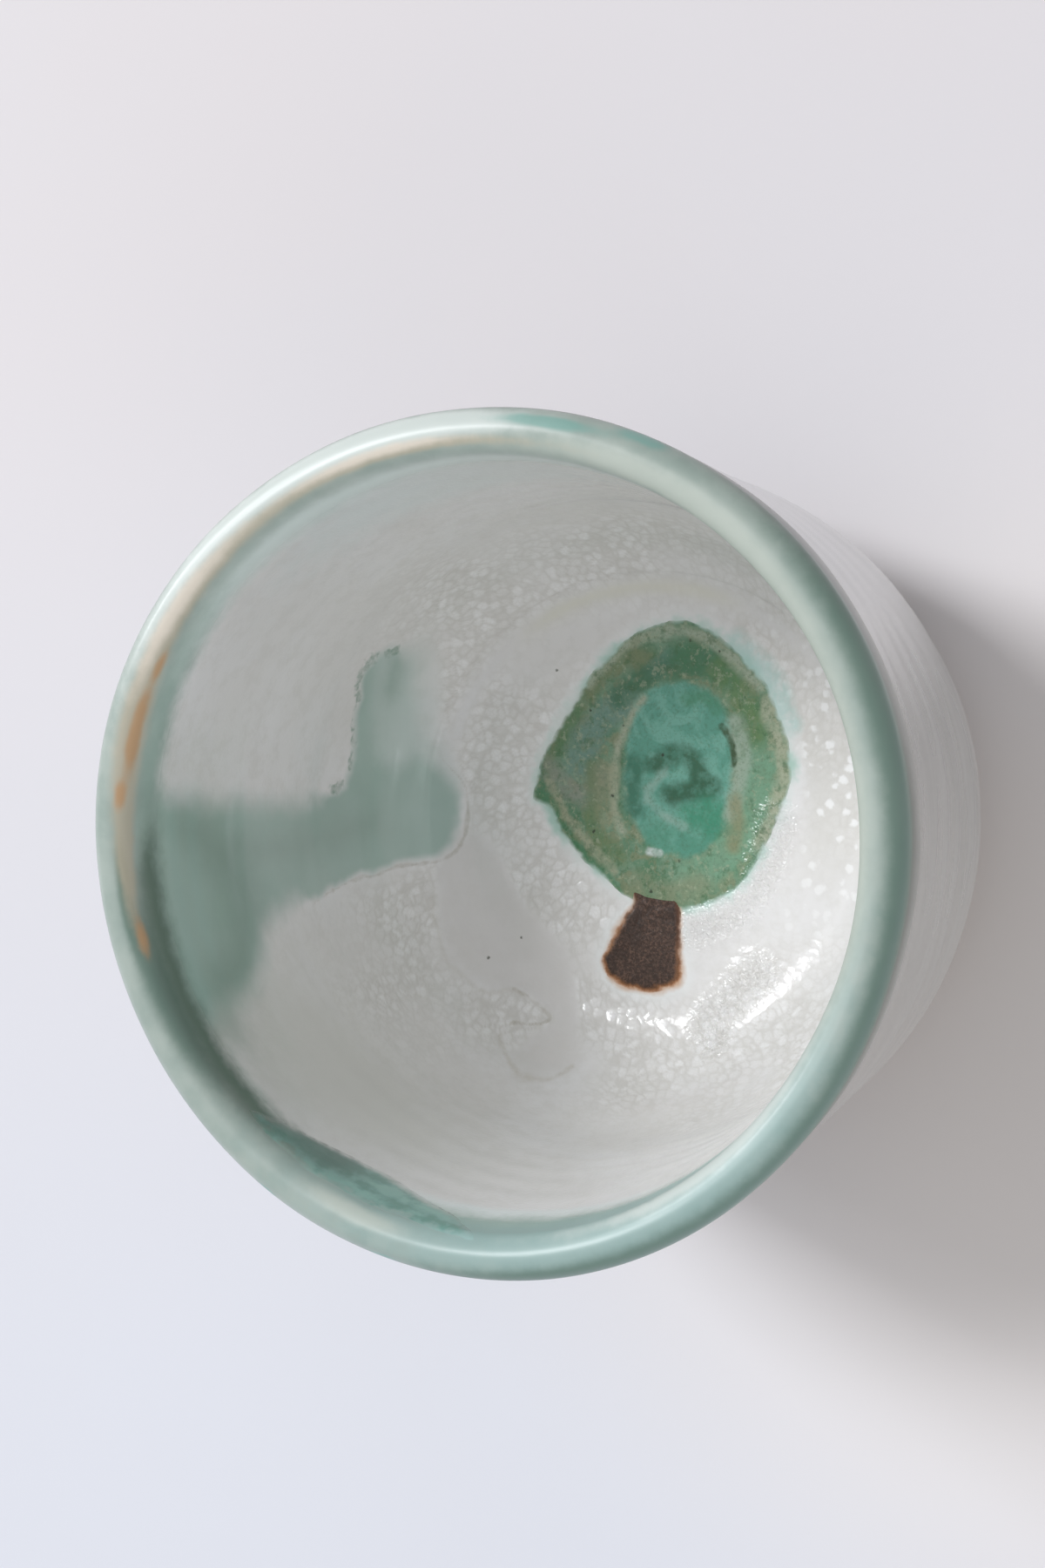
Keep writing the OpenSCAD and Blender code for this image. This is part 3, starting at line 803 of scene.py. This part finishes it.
def white_glaze(sh):
    """The white glaze: warm and cool drifts, crawled cells, the smooth tongue and the lines round it, and
    pale halos round the marks."""
    drift = sh.ramp(sh.noise(17, 3), 0.35, 0.65)
    colour = sh.mix(drift, rgb(234, 232, 230), rgb(239, 238, 238))
    clots = sh.ramp(sh.noise(2.4, 4, 0.65), 0.42, 0.68, 0.0, 0.4)
    colour = sh.mix(clots, colour, rgb(222, 220, 216))
    colour = sh.mix(sh.ramp(sh.wandering("tongue"), -1.8, 1.2, 0.7, 0.0), colour, rgb(224, 221, 218))
    colour = sh.flat(colour, "trough", (230, 228, 214), 0.8)
    colour = sh.flat(colour, "crawl", (229, 227, 223), 0.6)
    colour = sh.flat(colour, "tone", (245, 244, 243))
    colour = sh.flat(colour, "cell", (210, 207, 201), 0.6)
    fine = sh.ramp(sh.cells(0.62, "DISTANCE_TO_EDGE"), 0.0, 0.16, 0.25, 0.0)
    colour = sh.mix(sh.math("MULTIPLY", fine, sh.field("crawl")), colour, rgb(216, 213, 208))
    colour = sh.flat(colour, "spots", (220, 218, 212), 0.6)
    spots = sh.ramp(sh.math("ADD", sh.cells(1.8), sh.swing(0.7, 0.4)), 0.2, 0.4, 1.0, 0.0)
    colour = sh.mix(sh.math("MULTIPLY", spots, sh.field("spots")), colour, rgb(250, 250, 249))
    halo = sh.math("MINIMUM", sh.field("pool"), sh.field("iron"))
    halo = sh.math("ADD", halo, sh.math("MULTIPLY", sh.wobble(), 0.9))
    colour = sh.mix(sh.ramp(halo, 0.0, 2.2, 0.75, 0.0), colour, rgb(240, 242, 241))
    bleed = sh.ramp(sh.wandering("pool"), -0.5, 1.2, 0.85, 0.0)
    bleed = sh.math("MULTIPLY", bleed, sh.ramp(sh.noise(6), 0.36, 0.62, 0.25, 1.0))
    colour = sh.mix(bleed, colour, rgb(172, 210, 196))
    scorch = sh.ramp(sh.wandering("iron", 0.6), -0.4, 0.7, 0.8, 0.0)
    colour = sh.mix(scorch, colour, rgb(206, 168, 136))
    colour = sh.strokes(colour, FLOOR_STROKES, 0.3)
    return sh.stroke(colour, "specks", rgb(90, 92, 80), 0.9, 0.15, 0.1, broken=False)


# The splash along its lines: colour, strength, and how soft the edge is
SPLASH_TINTS = {
    "stem_core": ((152, 174, 164), 0.6, 5.0),
    "core": ((136, 160, 149), 0.75, 7.0),
    "arm": ((196, 212, 206), 0.9, 3.6),
    "arm_core": ((158, 182, 172), 0.85, 4.4),
}


def splash_glaze(sh, colour):
    """The celadon splash, see-through towards its soft edges and deeper along its middle."""
    depth = sh.math("SUBTRACT", sh.math("MULTIPLY", sh.wide(), 0.7), sh.field("ink"))
    cover = sh.ramp(sh.math("DIVIDE", depth, sh.field("soft")), -0.4, 1.0, 0.0, 0.93)
    tint = sh.mix(sh.ramp(sh.noise(11, 2), 0.35, 0.65), rgb(162, 188, 178), rgb(171, 195, 186))
    for name, (shade, amount, soft) in SPLASH_TINTS.items():
        tint = sh.stroke(tint, name, rgb(*shade), amount, soft, broken=False)
    colour = sh.mix(cover, colour, tint)
    colour = sh.stroke(colour, "feather", rgb(108, 146, 126), 0.75, 0.7, 1.5)
    return sh.stroke(colour, "contour", rgb(186, 182, 170), 0.6, 0.35, 0.4)


# Patches in the order in which they are laid: colour, strength, where a patch begins and where it is full,
# and how much noise breaks it up. They lie on the wall, on the inner band of the lip and on the lip.
WALL_TINTS = {
    # Near white over the pale teal smear under the lip: painted light on the upper inner wall
    "smear_and_painted_light": ((230, 238, 237), 0.9, 0.05, 0.8),
    # Darker warm grey over the lower left wall
    "lower_left_grey": ((220, 219, 213), 0.9, 0.05, 0.95, 0.3),
    "veil": ((178, 190, 182), 0.75, 0.05, 0.95, 0.3),
}
BAND_TINTS = {
    "blue": ((144, 176, 174), 0.7, 0.1, 0.9, 0.3),
    "pale": ((216, 226, 222), 0.95, 0.05, 0.7, 0.3),
    "dark": ((98, 118, 105), 0.95, 0.05, 0.75, 0.3),
    "cream": ((204, 210, 199), 0.8, 0.1, 0.9, 0.3),
}
LIP_TINTS = {
    # The first pale tint is a painted highlight on the lip, partly also the glaze breaking pale over the
    # edge
    "light": ((202, 209, 204), 0.85, 0.05, 0.85),
    "cream": ((186, 192, 182), 0.7, 0.1, 0.9),
    # Darker teal: painted shade on the outer side of the lip away from the window, and a darker inner edge
    # at the left
    "deep_and_shade": ((96, 120, 108), 0.85, 0.05, 0.9, 0.4),
    "tan": ((182, 170, 148), 0.7, 0.1, 0.9),
    # Pinkish pale: a painted highlight on the crest
    "pink_painted_highlight": ((220, 210, 196), 0.75, 0.1, 0.9),
    "teal": ((112, 160, 150), 0.7, 0.2, 0.8),
    "rust": ((180, 142, 102), 0.85, 0.15, 0.95),
}


def inner_glaze(sh):
    """Everything inside the cup but the pool and the iron: white, splash, and the celadon that fades into
    both below the lip, with the copper run at its edge."""
    colour = splash_glaze(sh, sh.patches(white_glaze(sh), WALL_TINTS))
    celadon = sh.mix(sh.ramp(sh.noise(9, 3), 0.35, 0.7), rgb(166, 187, 177), rgb(150, 173, 163))
    band = sh.patches(celadon, BAND_TINTS)
    colour = sh.mix(sh.ramp(sh.wandering("shore", 0.9), -2.0, 2.0), colour, band)
    upper = sh.ramp(sh.field("shore"), 1.0, 3.0, 0.5, 1.6)
    depth = sh.math("SUBTRACT", sh.math("MULTIPLY", sh.wobble(), upper), sh.field("run"))
    green = sh.mix(sh.ramp(sh.noise(3, 3), 0.4, 0.6), rgb(106, 154, 142), rgb(140, 184, 174))
    green = sh.patch(green, "dark", (84, 116, 106), 0.8, 0.1, 0.9, 0.3)
    return sh.mix(sh.ramp(depth, -0.2, 1.3, 0.0, 0.95), colour, green)


def outer_glaze(sh):
    """The grey glaze of the outer wall, with the dark edge where it thins out below the lip."""
    streaks = sh.noise(7, 2, 0.5, sh.scaled(0.3, 0.3, 1.2))
    colour = sh.mix(sh.ramp(streaks, 0.35, 0.7), rgb(177, 176, 171), rgb(167, 166, 161))
    edge = sh.ramp(sh.wandering("across", 0.7), 3.6, 12.0, 1.0, 0.0)
    return sh.mix(edge, colour, rgb(106, 110, 102))


def liner_material():
    sh = Shader("white_liner_glaze", 0.13, coat=0.3)
    matt = sh.ramp(sh.field("crawl"), 0.0, 1.0, 0.11, 0.22)
    glitter = sh.ramp(sh.field("pebbles"), 0.1, 0.7, 1.0, 0.35)
    normal = sh.pebbled(0.5, sh.bump(sh.noise(0.45, 2), 0.02, 0.8))
    return sh.finish(inner_glaze(sh), normal, Roughness=sh.math("MULTIPLY", matt, glitter))


def lip_material():
    sh = Shader("celadon_lip_glaze", 0.4, coat=0.45, specular=0.25, coat_roughness=0.26)
    across = sh.wandering("across", 0.5)
    crest = sh.mix(sh.ramp(sh.noise(5, 3), 0.35, 0.7), rgb(158, 169, 161), rgb(143, 157, 149))
    crest = sh.patch(crest, "blue", (144, 172, 169), 0.7, 0.1, 0.9)
    colour = sh.mix(sh.ramp(across, -5.5, -1.5), inner_glaze(sh), crest)
    colour = sh.mix(sh.ramp(across, 2.0, 4.6), colour, outer_glaze(sh))
    return sh.finish(sh.patches(colour, LIP_TINTS), sh.bump(sh.noise(2.5, 2), 0.04, 0.4))


def outer_material():
    sh = Shader("grey_outer_glaze", 0.12, coat=0.4)
    return sh.finish(outer_glaze(sh), sh.bump(sh.noise(6, 2, 0.5), 0.05, 0.4))


def pool_colours(sh):
    """The copper green, tan and turquoise of the pool and its centre, melted into one another."""
    green = sh.mix(sh.ramp(sh.noise(3.8, 4, 0.6), 0.4, 0.62), rgb(90, 134, 100), rgb(122, 156, 128))
    olive = sh.ramp(sh.noise(2.2, 4, 0.65, sh.scaled(1, 1.2, 1), 0.8), 0.46, 0.62, 0.0, 0.8)
    colour = sh.mix(olive, green, rgb(136, 144, 110))
    depth = sh.math("SUBTRACT", sh.math("MULTIPLY", sh.wobble(), 0.6), sh.field("pool"))
    colour = sh.strokes(colour, POOL_STROKES)
    tan = sh.ramp(sh.noise(0.9, 3, 0.7), 0.54, 0.66, 0.0, 0.5)
    colour = sh.mix(tan, colour, rgb(168, 178, 150))
    moss = sh.ramp(sh.noise(1.5, 3, 0.7), 0.54, 0.68, 0.0, 0.55)
    colour = sh.mix(moss, colour, rgb(66, 108, 68))
    clouds = sh.ramp(sh.noise(4.2, 4, 0.6, distortion=1.0), 0.42, 0.6)
    eye = sh.strokes(sh.mix(clouds, rgb(118, 178, 160), rgb(96, 160, 140)), EYE_STROKES)
    colour = sh.mix(sh.ramp(sh.wandering("eye", 0.6), -0.8, 0.4, 1.0, 0.0), colour, eye)
    colour = sh.strokes(colour, TOP_STROKES, 0.5)
    grain = sh.ramp(sh.noise(0.4, 3, 0.7), 0.45, 0.75, 0.0, 0.4)
    colour = sh.mix(grain, colour, rgb(76, 104, 76))
    colour = sh.stroke(colour, "specks", rgb(48, 56, 40), 0.9, 0.15, 0.1, broken=False)
    colour = sh.mix(sh.ramp(depth, 0.0, 0.8, 0.4, 0.0), colour, rgb(132, 172, 148))
    return sh.mix(sh.ramp(depth, -0.1, 0.6), white_glaze(sh), colour)


def pool_material():
    sh = Shader("copper_green_glaze", 0.13, coat=0.6)
    glitter = sh.ramp(sh.field("pebbles"), 0.1, 0.7, 0.13, 0.05)
    normal = sh.pebbled(0.65, sh.bump(sh.noise(0.7, 3, 0.7), 0.05, 0.6))
    return sh.finish(pool_colours(sh), normal, Roughness=glitter)


def eye_material():
    sh = Shader("turquoise_glaze", 0.12, coat=0.4)
    return sh.finish(pool_colours(sh), sh.bump(sh.noise(0.9, 3, 0.7), 0.03, 0.4))


def iron_material():
    """Dark brown with a pinkish grain. Its edge is rust red at one side and orange at the other."""
    sh = Shader("iron_brown_glaze", 0.36, coat=0.1, specular=0.3)
    depth = sh.math("SUBTRACT", sh.swing(1.3, 1.4, 3, 0.6), sh.field("iron"))
    brown = sh.mix(sh.ramp(sh.noise(0.34, 3, 0.75), 0.4, 0.72), rgb(58, 41, 31), rgb(106, 80, 66))
    brown = sh.mix(sh.ramp(sh.noise(3, 2), 0.4, 0.7, 0.0, 0.5), brown, rgb(50, 37, 30))
    side = sh.math("SUBTRACT", sh.axis("Y"), sh.axis("X"))
    rim = sh.mix(sh.ramp(side, 14 * MM, 20 * MM), rgb(118, 82, 62), rgb(178, 122, 80))
    colour = sh.mix(sh.ramp(depth, 0.0, 1.0), rim, brown)
    colour = sh.mix(sh.ramp(depth, -0.2, 0.5), white_glaze(sh), colour)
    return sh.finish(colour, sh.bump(sh.noise(0.35, 3, 0.7), 0.05, 0.6))


def splash_material():
    sh = Shader("celadon_splash_glaze", 0.13, coat=0.3)
    return sh.finish(inner_glaze(sh), sh.bump(sh.noise(0.5, 2), 0.01, 0.5))


def run_material():
    sh = Shader("copper_run_glaze", 0.13, coat=0.4)
    return sh.finish(inner_glaze(sh), sh.bump(sh.noise(1.2, 2), 0.03, 0.5))


def clay_material():
    sh = Shader("bare_stoneware", 0.8)
    grain = sh.noise(0.6, 4, 0.7)
    colour = sh.mix(sh.ramp(grain, 0.35, 0.7), rgb(178, 150, 118), rgb(198, 174, 144))
    specks = sh.ramp(sh.cells(1.6), 0.05, 0.13, 1.0, 0.0)
    colour = sh.mix(specks, colour, rgb(88, 66, 50))
    return sh.finish(colour, sh.bump(grain, 0.08, 0.6))


# Centre of the painted light on the floor: a lighter, warmer patch where the cup's shadow falls
SHADOW_FILL_AT = (-40 * MM, -55 * MM, 0)


def floor_material():
    """The pale floor, cooler towards one side, with painted light beside the cup: a lighter, warmer patch
    where the cup's shadow falls.
    """
    sh = Shader("pale_floor", 0.65)
    colour = sh.mix(sh.ramp(sh.axis("X"), -120 * MM, 120 * MM), rgb(210, 212, 219), rgb(208, 203, 204))
    colour = sh.mix(sh.ramp(sh.noise(60, 3), 0.3, 0.7, 0.0, 0.2), colour, rgb(204, 204, 208))
    # Painted light: lightens and warms the floor where the cup's shadow falls
    shadow_fill = sh.node("ShaderNodeVectorMath", {0: sh.place, 1: SHADOW_FILL_AT}, "Value", operation="DISTANCE")
    colour = sh.mix(sh.ramp(shadow_fill, 20 * MM, 100 * MM, 0.8, 0.0), colour, rgb(228, 220, 214))
    return sh.finish(colour, sh.bump(sh.noise(0.8, 2), 0.02, 0.3))


def add_piece(obj, material, slot, *nodes):
    obj.data.materials.append(material)
    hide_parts(*nodes)
    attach(obj, "root")


# Which values the mesh of each glaze carries
WHITE_KEYS = ["pool", "iron", "tongue", "trough", "specks", "crawl", "cell", "tone", "spots", "pebbles",
              *FLOOR_STROKES]
INNER_KEYS = WHITE_KEYS + ["shore", "ink", "soft", "run", *WALL_STROKES, *WALL_TINTS, *BAND_TINTS]
LIP_KEYS = INNER_KEYS + ["across", *LIP_TINTS]
POOL_KEYS = WHITE_KEYS + ["eye", *POOL_STROKES, *EYE_STROKES, *TOP_STROKES]


def build_cup():
    add_piece(clay_body(), clay_material(), "bare_clay", "clay_body")
    add_piece(coat("liner_coat", 0, ROW_LIP_IN, INNER_KEYS), liner_material(), "white_glaze", "liner_glaze")
    add_piece(coat("lip_coat", ROW_LIP_IN, ROW_LIP_OUT, LIP_KEYS), lip_material(), "celadon_glaze",
              "rim_glaze")
    add_piece(coat("outer_coat", ROW_LIP_OUT, ROW_GLAZE_END, ["across"]), outer_material(), "grey_glaze",
              "outer_glaze")
    add_piece(mark("green_pool", "pool", POOL_T, 2.0, POOL_KEYS), pool_material(), "copper_green_glaze",
              "pool_glaze")
    add_piece(mark("turquoise_eye", "eye", EYE_T, 2.4, POOL_KEYS, base=POOL_T), eye_material(),
              "turquoise_glaze", "pool_centre")
    add_piece(mark("iron_spot", "iron", IRON_T, 0.8, WHITE_KEYS), iron_material(), "iron_brown_glaze",
              "iron_patch")
    add_piece(mark("wall_splash", "splash", SPLASH_T, 2.5, INNER_KEYS, margin=1.0), splash_material(),
              "celadon_glaze", "splash_glaze")
    add_piece(mark("copper_run", "run", RUN_T, 1.5, INNER_KEYS), run_material(), "turquoise_glaze",
              "lip_run")


# The camera stands over the mouth, a little to the front, as in the photograph.
TILT = math.radians(20.55)
ROLL = math.radians(6.49)
DISTANCE = 5.005 * RIM_R
OFFSET_RIGHT, OFFSET_UP = 0.104 * RIM_R, 0.138 * RIM_R
FORWARD = Vector((0, math.sin(TILT), -math.cos(TILT)))
LEVEL_RIGHT = Vector((0, -math.cos(TILT), -math.sin(TILT)))
LEVEL_UP = Vector((1, 0, 0))
RIGHT = math.cos(ROLL) * LEVEL_RIGHT - math.sin(ROLL) * LEVEL_UP
UP = math.sin(ROLL) * LEVEL_RIGHT + math.cos(ROLL) * LEVEL_UP

# Half the floor's side and the distance of the lights, both in metres, and the light of the room
FLOOR_HALF, LIGHT_DISTANCE = 1.5, 2.4
ROOM_COLOUR, ROOM_STRENGTH = (0.95, 0.96, 1.0, 1), 0.44

# The soft lights: azimuth and height in degrees, size in metres, power in watts, colour, and whether it is
# seen in reflections. The first four together are the window.
DAYLIGHT, COOL, WHITE = (0.955, 0.97, 1.0), (0.88, 0.94, 1.0), (1.0, 1.0, 1.0)
SOFTBOXES = {
    "window_low": (62, 22, (0.45, 0.25), 9.0, DAYLIGHT, True),
    "window_middle": (53, 35, (0.5, 0.4), 12.0, DAYLIGHT, True),
    "window_pane": (49.3, 55.8, (0.55, 0.75), 28.0, DAYLIGHT, True),
    "window_wide": (68, 46, (1.5, 0.9), 2.5, DAYLIGHT, True),
    "room": (195, 42, (1.5, 1.0), 4.8, WHITE, False),
    "ceiling": (60, 86, (2.4, 2.4), 8.0, WHITE, False),
    "table_bounce": (212, 4, (1.6, 0.3), 21.0, COOL, False),
}


def add_camera():
    data = bpy.data.cameras.new("camera")
    data.sensor_fit = "VERTICAL"
    data.sensor_height = 36
    data.lens = 50
    data.clip_start, data.clip_end = 0.01, 10
    camera = add_object("camera", data)
    mouth = Vector((0, 0, LIP_Z))
    place = mouth + RIGHT * OFFSET_RIGHT + UP * OFFSET_UP - FORWARD * DISTANCE
    camera.matrix_world = Matrix((*zip(RIGHT, UP, -FORWARD, place * MM), (0, 0, 0, 1)))
    bpy.context.scene.camera = camera


def add_softbox(name, azimuth, height_angle, size, power, colour, mirrored):
    """A soft area light that faces the cup."""
    data = bpy.data.lights.new(name, "AREA")
    data.shape = "RECTANGLE"
    data.size, data.size_y = size
    data.energy = power
    data.color = colour
    light = add_object(name, data)
    light.visible_camera = False
    light.visible_glossy = mirrored
    turn, lift = math.radians(azimuth), math.radians(height_angle)
    towards = Vector((math.cos(lift) * math.cos(turn), math.cos(lift) * math.sin(turn), math.sin(lift)))
    light.location = towards * LIGHT_DISTANCE + Vector((0, 0, CUP_H * MM / 2))
    light.rotation_mode = "QUATERNION"
    light.rotation_quaternion = towards.to_track_quat("Z", "Y")


def add_stage():
    corners = [(-1, -1), (1, -1), (1, 1), (-1, 1)]
    mesh = bpy.data.meshes.new("studio_floor")
    mesh.from_pydata([(x * FLOOR_HALF, y * FLOOR_HALF, 0) for x, y in corners], [], [(0, 1, 2, 3)])
    floor = add_object("studio_floor", mesh)
    mesh.materials.append(floor_material())
    world = bpy.data.worlds.new("studio")
    bpy.context.scene.world = world
    world.use_nodes = True
    background = world.node_tree.nodes["Background"]
    background.inputs["Color"].default_value = ROOM_COLOUR
    background.inputs["Strength"].default_value = ROOM_STRENGTH
    for name, settings in SOFTBOXES.items():
        add_softbox(name, *settings)
    bpy.context.scene.view_settings.view_transform = "Standard"


add_camera()
add_stage()
build_cup()
